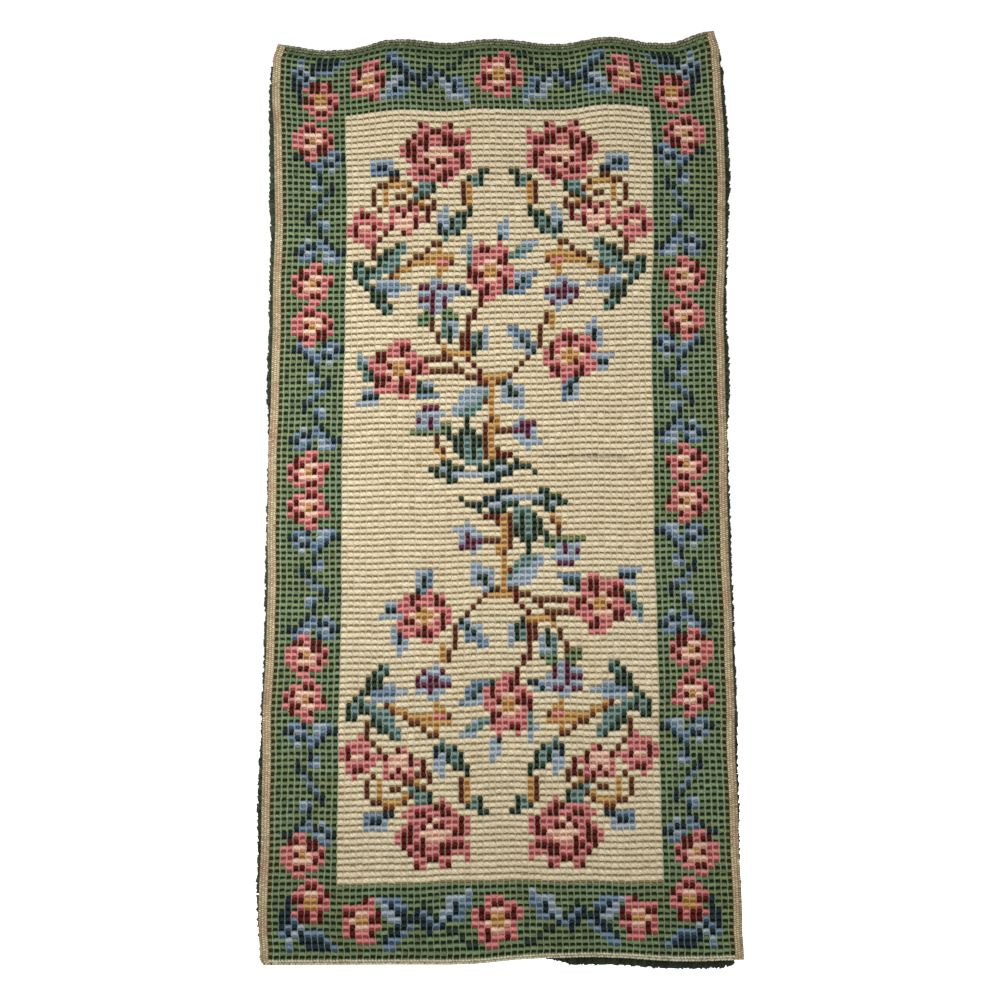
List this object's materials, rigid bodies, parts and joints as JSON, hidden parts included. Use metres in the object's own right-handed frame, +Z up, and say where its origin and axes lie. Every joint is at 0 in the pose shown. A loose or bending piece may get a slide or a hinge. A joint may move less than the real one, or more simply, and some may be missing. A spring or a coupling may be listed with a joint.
{
  "type": "latch hook wall hanging",
  "caption": "Tall rug-canvas wall hanging shown canvas side out, with a floral yarn pile on its wall side, woven selvedges and turned hems.",
  "frame": {"origin": "middle of the top edge, in the plane of the canvas face where the cloth hangs flat", "axes": "+X to the right of someone facing the canvas side, +Y towards the wall, +Z up"},
  "size_m": [0.5933, 0.0484, 1.1477],
  "materials": {
    "rug_canvas": "stiff cotton leno canvas, matte",
    "yarn_cream": "cut rug yarn, matte, slightly fuzzy",
    "yarn_green": "cut rug yarn, matte, slightly fuzzy",
    "yarn_dark_green": "cut rug yarn, matte, slightly fuzzy",
    "yarn_teal": "cut rug yarn, matte, slightly fuzzy",
    "yarn_light_blue": "cut rug yarn, matte, slightly fuzzy",
    "yarn_blue": "cut rug yarn, matte, slightly fuzzy",
    "yarn_navy": "cut rug yarn, matte, slightly fuzzy",
    "yarn_rose": "cut rug yarn, matte, slightly fuzzy",
    "yarn_pale_pink": "cut rug yarn, matte, slightly fuzzy",
    "yarn_maroon": "cut rug yarn, matte, slightly fuzzy",
    "yarn_brown": "cut rug yarn, matte, slightly fuzzy",
    "yarn_gold": "cut rug yarn, matte, slightly fuzzy",
    "yarn_plum": "cut rug yarn, matte, slightly fuzzy"
  },
  "bodies": {
    "root": {"canvas": "rug_canvas", "pile_field": "yarn_cream", "pile_border_top": "yarn_green", "pile_border_foot": "yarn_green", "pile_border_left": "yarn_green", "pile_border_right": "yarn_green"}
  },
  "joints": []
}
